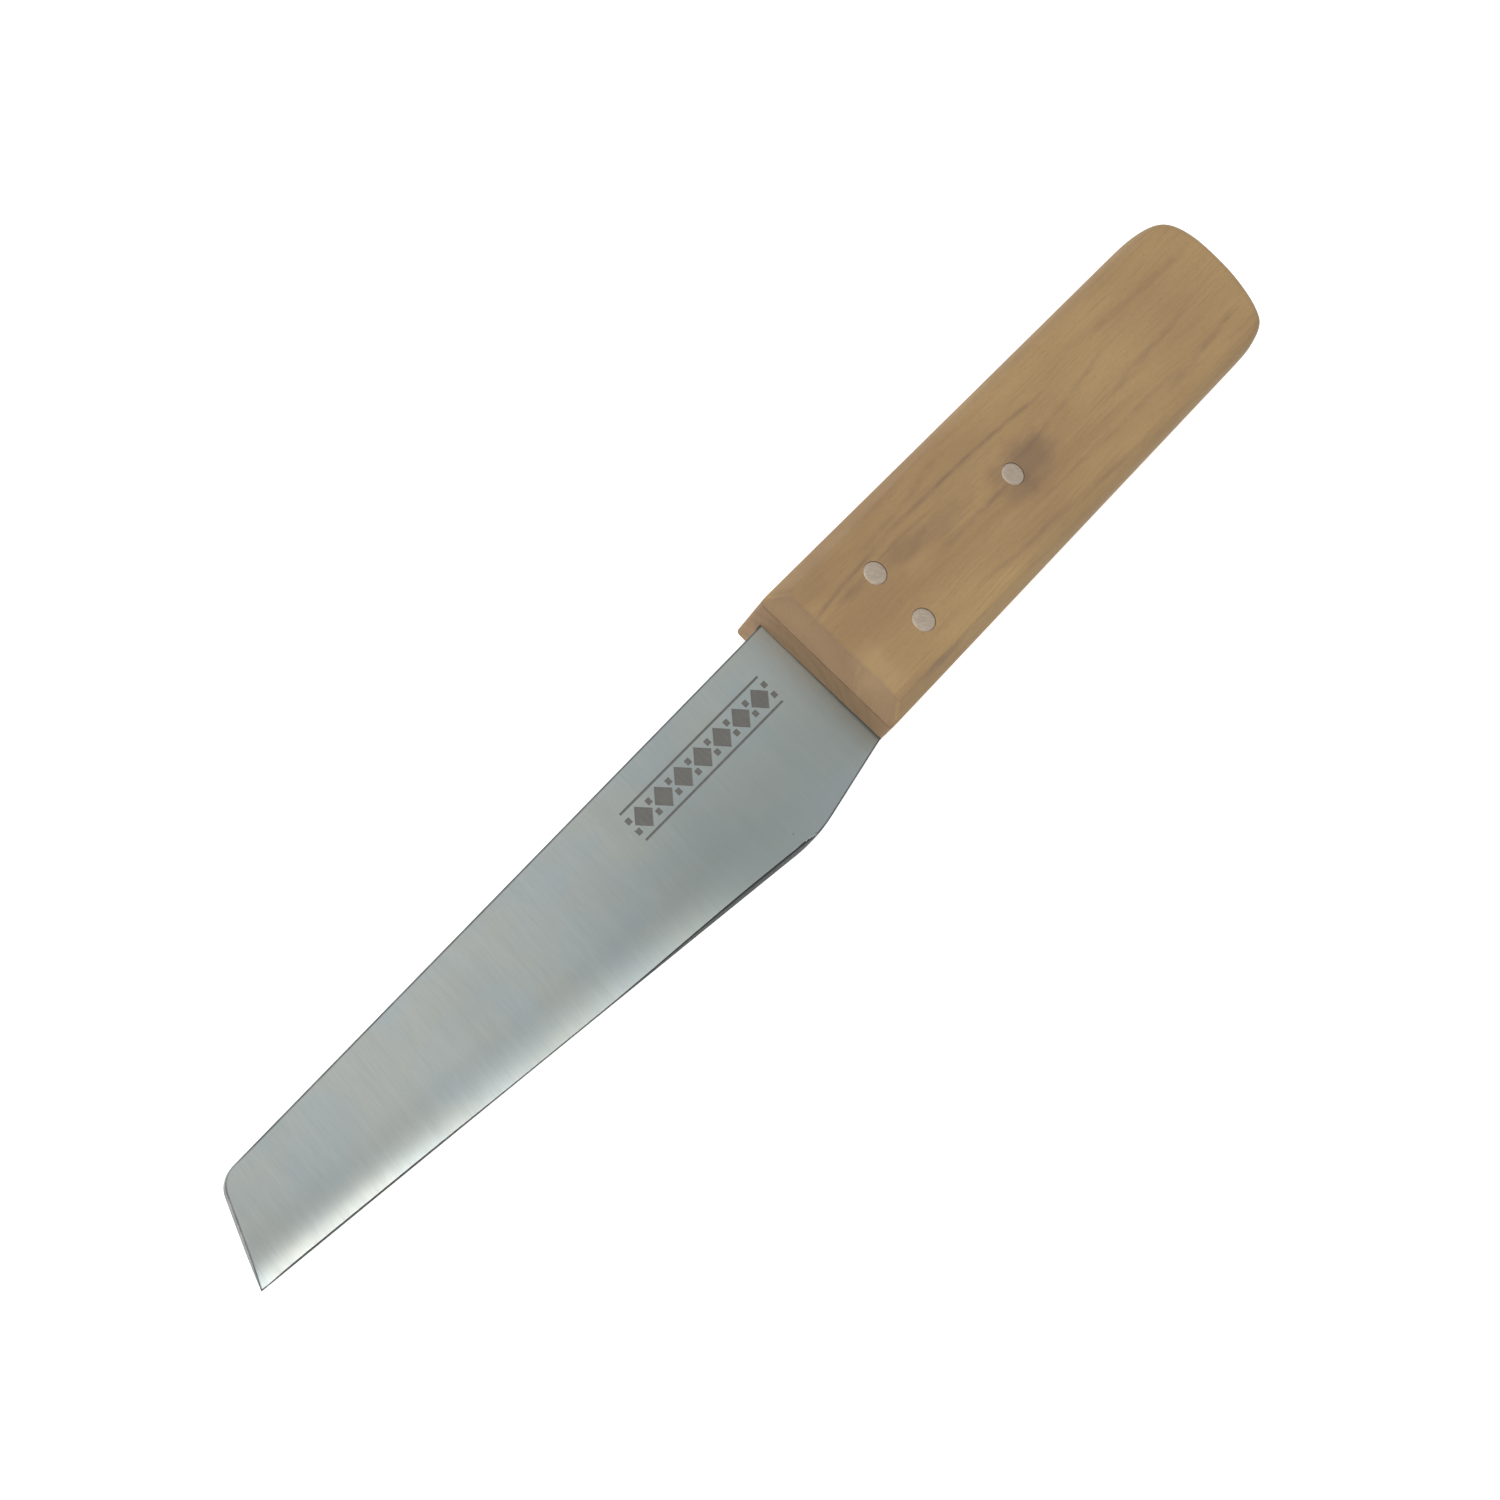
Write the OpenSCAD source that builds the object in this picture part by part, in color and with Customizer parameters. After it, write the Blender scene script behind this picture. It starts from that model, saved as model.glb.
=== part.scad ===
// Straight farrier's and shoemaker's knife: a flat ground blade whose tang
// sits in a saw slot in a one-piece beech handle and is held by three rivets.
// Frame: +X runs from the handle towards the blade's tip, +Y towards the
// cutting edge, +Z up out of the knife's flat side. The origin is the centre
// of the handle's underside, so the knife lies on Z = 0.

/* [Handle] */
// Length of the handle, from the front face to the butt
handle_l = 99; // [96:0.5:115]
// Width of the handle, across the flat side
handle_w = 24.5; // [24:0.5:27]
// Thickness of the handle, from flat side to flat side
handle_t = 15; // [12:0.5:18]
// Size of the 45 degree chamfers above and below the front face
front_chamfer = 2.6; // [1:0.1:3.4]
// Radius along the four long edges
edge_r = 2.4; // [1:0.1:3.4]
// Radius of the shallow arc across the butt, seen from above
butt_arc_r = 26; // [22:0.5:40]
// How far the middle of that arc lies off the centre line, towards the spine
butt_arc_shift = 1.3; // [0:0.1:2]
// Radius of the two butt corners, seen from above
butt_corner_r = 6; // [4:0.1:9]
// Easing round the butt's upper and lower edges
butt_ease = 1.2; // [0.6:0.1:2]

/* [Blade] */
// Length of the blade, from the handle's front face to the tip
blade_l = 112.4; // [105:0.1:125]
// Thickness of the blade and of its tang
blade_t = 1.5; // [1.2:0.1:2.4]
// Distance of the spine from the centre line, where it leaves the handle
spine_root = 10.2; // [9:0.1:10.4]
// Distance of the spine from the centre line, at the tip end
spine_tip = 8.75; // [7:0.05:10.4]
// Distance from the handle to the corner where the spine meets the slanted tip
nose_x = 106.3; // [98:0.1:109]
// Radius of that corner
nose_r = 3.5; // [1:0.5:7]
// Distance of the tip from the centre line, on the cutting edge's side
tip_y = 3.95; // [2:0.05:7]
// Distance from the handle to the heel, where the cutting edge begins
heel_x = 17.4; // [12:0.1:25]
// Distance of the heel from the centre line
heel_y = 15.15; // [13:0.05:18]
// Radius of the heel's blunt corner
heel_r = 28; // [5:1:30]
// Width of the grind along the cutting edge, on each side
grind_w = 5; // [1.5:0.1:5]
// Thickness left at the cutting edge
edge_t = 0.3; // [0.2:0.05:0.5]

/* [Tang and slot] */
// Length of the tang inside the handle
tang_l = 60; // [56:1:64]
// Length over which the tang has its full width
tang_full_l = 40; // [38:1:44]
// Distance of the tang's rear corner from the centre line, on the spine's side
tang_rear_y = 5.8; // [3:0.1:6]
// Gap between the tang's back and the bottom of the slot
slot_gap = 0.1; // [0.05:0.05:0.2]
// Radius of the saw that cuts the slot
saw_r = 60; // [58:1:64]

/* [Rivets] */
// Diameter of the rivets and of their holes
rivet_d = 3.5; // [3:0.1:4.5]
// Distance of the front pair of rivets from the handle's front face
rivet_front_x = 14.6; // [12:0.1:20]
// Distance of the front rivet near the spine from the centre line
rivet_spine_y = 3.95; // [3:0.05:6]
// Distance of the front rivet near the cutting edge from the centre line
rivet_edge_y = 5.2; // [3:0.1:7]
// Distance of the rear rivet from the handle's front face
rivet_rear_x = 42.8; // [38:0.1:50]

/* [Hidden] */
$fn = 96;
// How far cutting tools reach past the surface that they cut
over = 1;
// X of the handle's front face and of the butt
front = handle_l / 2;
butt = -handle_l / 2;
// Z of the blade's middle plane
mid_z = handle_t / 2;
half_w = handle_w / 2;
// Depth of the slot from the open side of the handle
slot_depth = half_w + spine_root + slot_gap;
// Centre of the big arc across the butt
arc_at = [butt + butt_arc_r, -butt_arc_shift];

// Corners of the blade's outline
root_spine = [front, -spine_root];
nose = [front + nose_x, -spine_tip];
tip = [front + blade_l, tip_y];
heel = [front + heel_x, heel_y];
root_edge = [front, half_w];

function unit(v) = v / norm(v);
// Distance from corner b to where an arc of radius r touches its two sides
function arc_reach(a, b, c, r) =
    let (cosine = unit(a - b) * unit(c - b), half = acos(cosine) / 2)
    r / tan(half);
// Centre of that arc
function arc_centre(a, b, c, r) =
    let (u = unit(a - b), w = unit(c - b), half = acos(u * w) / 2)
    b + unit(u + w) * r / sin(half);
// Point at distance d from b towards a
function towards(b, a, d) = b + unit(a - b) * d;
// Centre of a butt corner's arc, which touches the handle's side and the big
// arc from inside; side is -1 at the spine and 1 at the cutting edge
function corner_at(side) =
    let (y = side * (half_w - butt_corner_r))
    [arc_at[0] - sqrt(pow(butt_arc_r - butt_corner_r, 2) - pow(y - arc_at[1], 2)), y];
// Where that corner's arc meets the big arc
function corner_touch(side) = arc_at + unit(corner_at(side) - arc_at) * butt_arc_r;

nose_reach = arc_reach(root_spine, nose, tip, nose_r);
heel_reach = arc_reach(root_edge, heel, tip, heel_r);

// Positions of the three rivets
rivet_at = [
    [front - rivet_front_x, -rivet_spine_y],
    [front - rivet_front_x, rivet_edge_y],
    [front - rivet_rear_x, 0]
];

// Straight round pin or hole from z = 0 upwards
module round_bar(at, length, from = 0) {
    translate([at[0], at[1], from]) cylinder(d = rivet_d, h = length);
}

// ---- handle ----

// The handle seen from above: square at the front, bowed across the butt
module handle_plan() {
    union() {
        polygon([
            [front, -half_w], [front, half_w],
            [corner_at(1)[0], half_w], corner_at(1),
            corner_touch(1), corner_touch(-1),
            corner_at(-1), [corner_at(-1)[0], -half_w]
        ]);
        for (side = [-1, 1]) translate(corner_at(side)) circle(r = butt_corner_r);
        intersection() {
            translate(arc_at) circle(r = butt_arc_r, $fn = 192);
            polygon([
                corner_touch(1), corner_touch(-1),
                [butt - over, corner_touch(-1)[1]], [butt - over, corner_touch(1)[1]]
            ]);
        }
    }
}

// The handle seen from its end: a rectangle with four rounded corners
module handle_end_view() {
    union() {
        translate([-half_w, edge_r]) square([handle_w, handle_t - 2 * edge_r]);
        translate([-half_w + edge_r, 0]) square([handle_w - 2 * edge_r, handle_t]);
        for (side = [-1, 1], z = [edge_r, handle_t - edge_r])
            translate([side * (half_w - edge_r), z]) circle(r = edge_r);
    }
}

// The handle seen from its side: chamfered at the front, eased at the butt
module handle_side_view() {
    polygon([
        [butt + butt_ease, 0], [front - front_chamfer, 0],
        [front, front_chamfer], [front, handle_t - front_chamfer],
        [front - front_chamfer, handle_t], [butt + butt_ease, handle_t],
        [butt, handle_t - butt_ease], [butt, butt_ease]
    ]);
}

// The slot seen from above: straight from the front, then the saw's run-out
module slot_plan() {
    union() {
        translate([front - tang_full_l, half_w - slot_depth])
            square([tang_full_l + over, slot_depth + over]);
        translate([front - tang_full_l, half_w - slot_depth + saw_r])
            circle(r = saw_r, $fn = 360);
    }
}

module handle() {
    color([0.63, 0.53, 0.40])
    difference() {
        intersection() {
            linear_extrude(height = handle_t) handle_plan();
            translate([butt - over, 0, 0])
                rotate([90, 0, 90])
                    linear_extrude(height = handle_l + 2 * over) handle_end_view();
            translate([0, half_w + over, 0])
                rotate([90, 0, 0])
                    linear_extrude(height = handle_w + 2 * over) handle_side_view();
        }
        translate([0, 0, mid_z - blade_t / 2])
            linear_extrude(height = blade_t) slot_plan();
        for (at = rivet_at) round_bar(at, handle_t + 2 * over, -over);
    }
}

// ---- blade ----

// The part of the blade outside the handle, seen from above
module blade_plan() {
    union() {
        polygon([
            root_spine,
            towards(nose, root_spine, nose_reach),
            towards(nose, tip, nose_reach),
            tip,
            towards(heel, tip, heel_reach),
            towards(heel, root_edge, heel_reach),
            root_edge
        ]);
        translate(arc_centre(root_spine, nose, tip, nose_r)) circle(r = nose_r);
        intersection() {
            translate(arc_centre(root_edge, heel, tip, heel_r)) circle(r = heel_r, $fn = 192);
            polygon([
                towards(heel, tip, heel_reach),
                heel,
                towards(heel, root_edge, heel_reach)
            ]);
        }
    }
}

// The tang seen from above: full width first, then tapered on the spine's side
module tang_plan() {
    polygon([
        [front, -spine_root],
        [front, half_w],
        [front - tang_l, half_w],
        [front - tang_l, -tang_rear_y],
        [front - tang_full_l, -spine_root]
    ]);
}

// The metal that the grind takes off one face, along the cutting edge. In its
// own section, x runs out across the edge and y runs out of the blade's face.
module grind_cut() {
    run = tip - heel;
    angle = atan2(run[1], run[0]);
    translate([heel[0], heel[1], mid_z])
        rotate([0, 0, angle])
            translate([-heel_x - over, 0, 0])
                rotate([90, 0, 90])
                    linear_extrude(height = norm(run) + heel_x + 2 * over)
                        polygon([
                            [-grind_w, blade_t / 2],
                            [0, edge_t / 2],
                            [over, edge_t / 2],
                            [over, blade_t / 2 + over],
                            [-grind_w, blade_t / 2 + over]
                        ]);
}

module blade() {
    color([0.62, 0.65, 0.65])
    difference() {
        translate([0, 0, mid_z - blade_t / 2])
            linear_extrude(height = blade_t) union() {
                blade_plan();
                tang_plan();
            }
        grind_cut();
        translate([0, 0, 2 * mid_z]) mirror([0, 0, 1]) grind_cut();
        for (at = rivet_at) round_bar(at, handle_t + 2 * over, -over);
    }
}

// ---- rivets ----

// Plain pin, set through handle and tang and ground flush on both sides
module rivet(at) {
    color([0.68, 0.64, 0.58]) round_bar(at, handle_t);
}

module rivet_front_spine() { rivet(rivet_at[0]); }
module rivet_front_edge() { rivet(rivet_at[1]); }
module rivet_rear() { rivet(rivet_at[2]); }

handle();
blade();
rivet_front_spine();
rivet_front_edge();
rivet_rear();
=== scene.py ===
"""Straight farrier's knife: beech handle, cross-brushed blade with a full slot tang, three pins.

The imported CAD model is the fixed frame. Its handle, blade and pins are stood for by
finer meshes made here, in the same frame: +X to the blade's tip, +Y to the cutting
edge, +Z up, the knife lying on Z = 0. Lengths below are in millimetres unless named
otherwise, and become metres when a mesh is made.
"""

import math

import bmesh
import bpy
import numpy as np
from mathutils import Matrix, Vector, geometry, noise


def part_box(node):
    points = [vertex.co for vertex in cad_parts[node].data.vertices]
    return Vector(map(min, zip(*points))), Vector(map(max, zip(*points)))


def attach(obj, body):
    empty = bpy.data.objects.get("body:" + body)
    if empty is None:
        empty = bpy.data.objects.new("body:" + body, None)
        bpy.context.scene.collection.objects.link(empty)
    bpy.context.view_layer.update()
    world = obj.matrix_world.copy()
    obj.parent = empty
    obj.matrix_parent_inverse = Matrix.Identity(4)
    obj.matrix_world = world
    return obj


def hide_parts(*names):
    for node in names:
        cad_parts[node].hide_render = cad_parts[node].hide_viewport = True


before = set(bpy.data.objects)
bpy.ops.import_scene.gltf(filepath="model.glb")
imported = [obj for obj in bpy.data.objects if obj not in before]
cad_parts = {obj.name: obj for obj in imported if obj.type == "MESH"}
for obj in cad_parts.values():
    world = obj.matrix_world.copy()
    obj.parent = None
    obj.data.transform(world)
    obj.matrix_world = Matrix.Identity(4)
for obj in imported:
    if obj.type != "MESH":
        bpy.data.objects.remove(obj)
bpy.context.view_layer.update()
MM = 0.001

# ---------------------------------------------------------------- sizes from the frame
h_lo, h_hi = (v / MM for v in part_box("handle"))
b_lo, b_hi = (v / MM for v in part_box("blade"))
FRONT, BUTT, HALF_W, TOP = h_hi.x, h_lo.x, h_hi.y, h_hi.z
MID = (b_lo.z + b_hi.z) / 2
HT = (b_hi.z - b_lo.z) / 2
TIP_X, TANG_X, SPINE_Y = b_hi.x, b_lo.x, b_lo.y
PINS = {}
for pin in ("rivet_front_spine", "rivet_front_edge", "rivet_rear"):
    lo, hi = (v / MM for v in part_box(pin))
    PINS[pin] = ((lo.x + hi.x) / 2, (lo.y + hi.y) / 2, (hi.x - lo.x) / 2)

# shape facts of the visible model
CHAMFER = 2.6        # 45 degree chamfers at the handle's front
EDGE_R = 2.4         # rounding of the four long edges
BUTT_EASE = 1.2      # easing round the butt
ARRIS = 0.18         # softening of the chamfers' own edges
SLOT_Y = SPINE_Y - 0.1
SAW_X, SAW_R = FRONT - 40.0, 60.0
HEEL = Vector((FRONT + 17.4, 15.15))
TIP = Vector((TIP_X, 3.95))
NOSE = Vector((FRONT + 106.3, -8.75))


# ---------------------------------------------------------------- mesh helpers
class Shell:
    """Points in millimetres and faces, with a material number for each face."""

    def __init__(self):
        self.points, self.faces, self.mats = [], [], []

    def add(self, p):
        self.points.append(tuple(p))
        return len(self.points) - 1

    def face(self, ids, mat=0):
        self.faces.append(tuple(ids))
        self.mats.append(mat)

    def strip(self, a, b, mat=0):
        """Quads between two closed rings of equal length."""
        n = len(a)
        for i in range(n):
            j = (i + 1) % n
            self.face((a[i], a[j], b[j], b[i]), mat)

    def object(self, name, materials, smooth=35.0):
        me = bpy.data.meshes.new(name)
        me.from_pydata([(x * MM, y * MM, z * MM) for x, y, z in self.points], [], self.faces)
        me.validate()
        for m in materials:
            me.materials.append(m)
        me.polygons.foreach_set("material_index", self.mats)
        me.polygons.foreach_set("use_smooth", [True] * len(self.faces))
        me.update()
        if smooth is not None:
            me.set_sharp_from_angle(angle=math.radians(smooth))
        o = bpy.data.objects.new(name, me)
        bpy.context.scene.collection.objects.link(o)
        return o


def lathe(profile, centre, segments=72, mat=0, shell=None):
    """A closed solid turned round an upright axis from (radius, z) pairs that start and end on it."""
    s = shell or Shell()
    rings = []
    for r, z in profile:
        if r < 1e-6:
            rings.append([s.add((centre[0], centre[1], z))])
        else:
            rings.append([
                s.add((centre[0] + r * math.cos(2 * math.pi * k / segments),
                       centre[1] + r * math.sin(2 * math.pi * k / segments), z))
                for k in range(segments)
            ])
    for a, b in zip(rings, rings[1:]):
        if len(a) == 1:
            for k in range(segments):
                s.face((a[0], b[(k + 1) % segments], b[k]), mat)
        elif len(b) == 1:
            for k in range(segments):
                s.face((a[k], a[(k + 1) % segments], b[0]), mat)
        else:
            for k in range(segments):
                j = (k + 1) % segments
                s.face((a[k], a[j], b[j], b[k]), mat)
    return s


def prism(outline, z0, z1, mat=0, top=None):
    """A closed solid over a plan outline (anticlockwise); top is the upper outline if it differs."""
    s = Shell()
    a = [s.add((x, y, z0)) for x, y in outline]
    b = [s.add((x, y, z1)) for x, y in (top or outline)]
    s.strip(a, b, mat)
    s.face(tuple(reversed(a)), mat)
    s.face(tuple(b), mat)
    return s


def cut(target, cutter):
    """Takes the cutter's solid out of the target's mesh for good."""
    m = target.modifiers.new("cut", "BOOLEAN")
    m.operation, m.solver, m.object = "DIFFERENCE", "EXACT", cutter
    dg = bpy.context.evaluated_depsgraph_get()
    made = bpy.data.meshes.new_from_object(target.evaluated_get(dg), depsgraph=dg)
    target.modifiers.clear()
    old = target.data
    target.data = made
    made.name = old.name
    bpy.data.meshes.remove(old)
    gone = cutter.data
    bpy.data.objects.remove(cutter)
    bpy.data.meshes.remove(gone)


# ---------------------------------------------------------------- node helpers
class V:
    """An output socket that can be added, multiplied and so on."""

    def __init__(self, g, s):
        self.g, self.s = g, s

    def __add__(self, o): return self.g.math("ADD", self, o)
    def __radd__(self, o): return self.g.math("ADD", o, self)
    def __sub__(self, o): return self.g.math("SUBTRACT", self, o)
    def __rsub__(self, o): return self.g.math("SUBTRACT", o, self)
    def __mul__(self, o): return self.g.math("MULTIPLY", self, o)
    def __rmul__(self, o): return self.g.math("MULTIPLY", o, self)
    def __truediv__(self, o): return self.g.math("DIVIDE", self, o)
    def __abs__(self): return self.g.math("ABSOLUTE", self)
    def __pow__(self, o): return self.g.math("POWER", self, o)


class Graph:
    """A node material being written."""

    def __init__(self, name):
        self.mat = bpy.data.materials.new(name)
        self.mat.use_nodes = True
        self.t = self.mat.node_tree
        self.t.nodes.clear()
        self.out = self.t.nodes.new("ShaderNodeOutputMaterial")
        self.bsdf = self.t.nodes.new("ShaderNodeBsdfPrincipled")
        self.t.links.new(self.bsdf.outputs[0], self.out.inputs[0])
        tc = self.t.nodes.new("ShaderNodeTexCoord")
        scale = self.t.nodes.new("ShaderNodeVectorMath")
        scale.operation = "SCALE"
        self.t.links.new(tc.outputs["Object"], scale.inputs[0])
        scale.inputs["Scale"].default_value = 1000.0
        self.p = V(self, scale.outputs[0])          # millimetres
        sep = self.t.nodes.new("ShaderNodeSeparateXYZ")
        self.t.links.new(self.p.s, sep.inputs[0])
        self.x, self.y, self.z = (V(self, s) for s in sep.outputs)

    def put(self, value, socket):
        if isinstance(value, V):
            self.t.links.new(value.s, socket)
        elif isinstance(value, (tuple, list)) and len(value) == 3 and socket.type == "RGBA":
            socket.default_value = (*value, 1.0)
        else:
            socket.default_value = value

    def math(self, op, a, b=None, c=None, clamp=False):
        n = self.t.nodes.new("ShaderNodeMath")
        n.operation, n.use_clamp = op, clamp
        for v, s in zip((a, b, c), n.inputs):
            if v is not None:
                self.put(v, s)
        return V(self, n.outputs[0])

    def xyz(self, x, y, z):
        n = self.t.nodes.new("ShaderNodeCombineXYZ")
        for v, s in zip((x, y, z), n.inputs):
            self.put(v, s)
        return V(self, n.outputs[0])

    def noise(self, at, detail=2.0, rough=0.5, distortion=0.0, scale=1.0, colour=False, kind=None):
        n = self.t.nodes.new("ShaderNodeTexNoise")
        self.put(at, n.inputs["Vector"])
        n.inputs["Scale"].default_value = scale
        n.inputs["Detail"].default_value = detail
        n.inputs["Roughness"].default_value = rough
        n.inputs["Distortion"].default_value = distortion
        if kind:
            n.noise_type = kind
        return V(self, n.outputs["Color" if colour else 0])

    def cells(self, at, scale=1.0, out="Distance", jitter=1.0):
        n = self.t.nodes.new("ShaderNodeTexVoronoi")
        self.put(at, n.inputs["Vector"])
        n.inputs["Scale"].default_value = scale
        n.inputs["Randomness"].default_value = jitter
        return V(self, n.outputs[out])

    def step(self, v, lo, hi, to_lo=0.0, to_hi=1.0):
        """Smooth step of v from lo to hi."""
        n = self.t.nodes.new("ShaderNodeMapRange")
        n.interpolation_type = "SMOOTHSTEP"
        self.put(v, n.inputs[0])
        for s, k in zip(n.inputs[1:5], (lo, hi, to_lo, to_hi)):
            s.default_value = k
        return V(self, n.outputs[0])

    def bell(self, v, width):
        """1 at v = 0, falling smoothly to 0 over a few widths."""
        q = v / width
        return self.math("EXPONENT", q * q * -1.0)

    def mix(self, f, a, b, how="MIX"):
        n = self.t.nodes.new("ShaderNodeMix")
        n.data_type, n.blend_type, n.clamp_factor = "RGBA", how, True
        self.put(f, n.inputs[0])
        self.put(a, n.inputs[6])
        self.put(b, n.inputs[7])
        return V(self, n.outputs[2])

    def attribute(self, name):
        n = self.t.nodes.new("ShaderNodeAttribute")
        n.attribute_name = name
        return V(self, n.outputs["Fac"])

    def bump(self, height, distance_mm, strength=1.0, normal=None):
        n = self.t.nodes.new("ShaderNodeBump")
        n.inputs["Strength"].default_value = strength
        n.inputs["Distance"].default_value = distance_mm * MM
        self.put(height, n.inputs["Height"])
        if normal is not None:
            self.put(normal, n.inputs["Normal"])
        return V(self, n.outputs[0])

    def set(self, **values):
        for name, v in values.items():
            self.put(v, self.bsdf.inputs[name.replace("_", " ")])
        return self.mat


# ---------------------------------------------------------------- materials
def wood(sawn=False):
    """Oiled beech: straight fibres, flecks, a few dark growth lines and stains near the pins."""
    g = Graph("beech_sawn_shaded" if sawn else "beech")
    x, y, z = g.x, g.y, g.z
    # the fibres wander a little along the handle
    drift = g.noise(g.xyz(x * 0.018, y * 0.05, z * 0.05), 2.0) * 5.0 - 2.5
    yy = y + drift
    # growth rings seen on a flat-sawn face: wide soft bands, a few sharper lines
    ring = g.math("SQRT", (yy + 5.0) * (yy + 5.0) * 0.55 + (z + 9.0) * (z + 9.0) * 0.35) + x * 0.018
    band = g.noise(g.xyz(ring * 0.55, x * 0.006, 0.0), 3.0, 0.6)
    fine = g.noise(g.xyz(x * 0.10, yy * 2.6, z * 2.6), 4.0, 0.62)
    silk = g.noise(g.xyz(x * 0.35, yy * 9.0, z * 9.0), 2.0, 0.5)
    cloud = g.noise(g.xyz(x * 0.035, y * 0.11, z * 0.11), 2.0, 0.5)
    mottle = g.noise(g.xyz(x * 0.80, yy * 3.2, z * 3.2), 3.0, 0.65)

    light = (0.448, 0.298, 0.140)
    base = (0.384, 0.244, 0.117)
    dark = (0.288, 0.174, 0.090)
    col = g.mix(g.step(cloud, 0.3, 0.7), base, light)
    col = g.mix(g.step(band, 0.48, 0.72) * 0.42, col, dark)
    col = g.mix(g.step(fine, 0.46, 0.74) * 0.36, col, dark)
    col = g.mix(g.step(mottle, 0.45, 0.72) * 0.20, col, dark)
    col = g.mix(g.step(fine, 0.52, 0.26) * 0.22, col, light)
    # flecks: short dark dashes along the grain
    fleck = g.cells(g.xyz(x * 0.55, yy * 4.2, z * 4.2))
    col = g.mix(g.step(fleck, 0.24, 0.08) * 0.30, col, (0.235, 0.150, 0.082))

    # growth lines and stains of the upper flat side, in handle coordinates
    upper = g.step(z, TOP - 5.0, TOP - 1.0)
    wob = g.noise(g.xyz(x * 0.12, y * 0.2, 3.7), 3.0) * 1.1 - 0.55
    broken = 0.35 + 1.15 * g.step(g.noise(g.xyz(x * 0.22, y * 0.9, 8.1), 3.0, 0.6), 0.30, 0.66)
    mark = None

    def line(x0, y0, x1, y1, bend, width, strength):
        nonlocal mark
        t = g.math("MULTIPLY_ADD", x, 1.0 / (x1 - x0), -x0 / (x1 - x0), clamp=True)
        mid = t * (y1 - y0) + y0 + t * (1.0 - t) * (4.0 * bend)
        a, b = min(x0, x1), max(x0, x1)
        inside = g.step(x, a - 3.0, a + 4.0) * g.step(x, b + 3.0, b - 4.0)
        m = g.bell(y + wob * 0.6 - mid, width) * inside * broken * strength
        mark = m if mark is None else mark + m

    line(48.0, -5.1, -5.6, -5.2, -1.4, 0.36, 0.40)
    line(46.0, -3.9, 20.0, -4.6, -0.6, 0.30, 0.22)
    line(35.0, -7.5, 14.2, -9.4, 0.6, 0.50, 0.26)
    line(24.7, 0.4, 8.0, 0.5, 0.0, 0.42, 0.42)
    line(24.8, 7.3, -18.9, 10.3, 0.3, 0.50, 0.28)
    line(10.0, 5.0, -30.0, 6.4, 0.4, 0.40, 0.22)
    line(47.1, 9.9, 34.0, 10.9, 0.0, 0.50, 0.34)
    line(4.0, -1.0, -22.0, -3.6, 0.5, 0.50, 0.22)
    line(-12.0, 2.0, -40.0, 0.6, 0.3, 0.60, 0.26)
    line(-24.0, 7.6, -44.0, 6.6, 0.0, 0.55, 0.30)
    line(-16.0, -7.0, -46.0, -5.2, 0.3, 0.60, 0.20)
    ragged = g.noise(g.xyz(x * 0.24, y * 0.52, 1.3), 4.0, 0.62)

    def stain(cx, cy, ax, ay, strength):
        nonlocal mark
        u, v = (x - cx) / ax, (y - cy) / ay
        d = g.math("SQRT", u * u + v * v) + (ragged - 0.5) * 1.0
        mark = mark + g.step(d, 1.25, 0.25) * strength

    stain(21.8, -2.3, 8.0, 2.0, 0.32)
    stain(28.6, -3.6, 5.0, 1.9, 0.46)
    stain(12.4, -6.0, 10.0, 4.0, 0.14)
    stain(10.5, 9.0, 9.0, 2.5, 0.12)
    stain(-30.7, -2.3, 10.0, 4.0, 0.10)
    stain(39.2, -4.2, 3.2, 1.1, 0.34)
    stain(3.2, 0.3, 7.2, 4.7, 0.36)
    stain(2.6, 0.1, 4.9, 3.5, 0.36)
    stain(7.8, 2.4, 4.2, 2.2, 0.34)
    stain(8.6, -1.6, 2.8, 1.7, 0.24)
    stain(44.0, -8.6, 4.0, 2.4, 0.20)
    stain(47.4, -10.6, 1.8, 1.3, 0.34)
    mark = g.math("MINIMUM", mark * upper, 0.85)
    col = g.mix(mark, col, (0.218, 0.139, 0.087))

    # end grain: darker, with pores and rings, on the front, its chamfers and the butt
    geo = g.t.nodes.new("ShaderNodeNewGeometry")
    tc = g.t.nodes.new("ShaderNodeTexCoord")
    sep = g.t.nodes.new("ShaderNodeSeparateXYZ")
    g.t.links.new(tc.outputs["Normal"], sep.inputs[0])
    g.t.nodes.remove(geo)
    nx = abs(V(g, sep.outputs[0]))
    pore = g.cells(g.xyz(x * 2.0, y * 6.5, z * 6.5))
    rings = g.noise(g.xyz(ring * 1.5, 2.0, 0.0), 3.0, 0.6)
    saw = g.noise(g.xyz(0.0, (y * 0.80 + z * 0.60) * 3.4, (z * 0.8 - y * 0.6) * 0.25), 3.0, 0.6)
    ends = g.mix(g.step(rings, 0.40, 0.66) * 0.40, (0.362, 0.226, 0.126), (0.246, 0.150, 0.086))
    ends = g.mix(g.step(saw, 0.45, 0.70) * 0.28, ends, (0.190, 0.124, 0.076))
    ends = g.mix(g.step(pore, 0.26, 0.10) * 0.35, ends, (0.165, 0.105, 0.062))
    col = g.mix(g.step(nx, 0.35, 0.95), col, ends)
    # painted shade by which way a face turns, from how the light falls: the 45 degree chamfers darker on top of their
    # end-grain tone, and faces turned sideways, downwards or towards the spine darker too
    ny, nz = abs(V(g, sep.outputs[1])), V(g, sep.outputs[2])
    col = g.mix(g.bell(nx - 0.707, 0.12) * 0.34, col, (0.240, 0.160, 0.102))
    col = g.mix(g.step(ny, 0.12, 0.60) * 0.22 + g.step(ny, 0.75, 1.0) * 0.14 + g.step(nz, 0.0, -0.7) * 0.10
                + g.step(V(g, sep.outputs[1]), -0.2, -0.7) * 0.10, col, (0.210, 0.136, 0.080))
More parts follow.
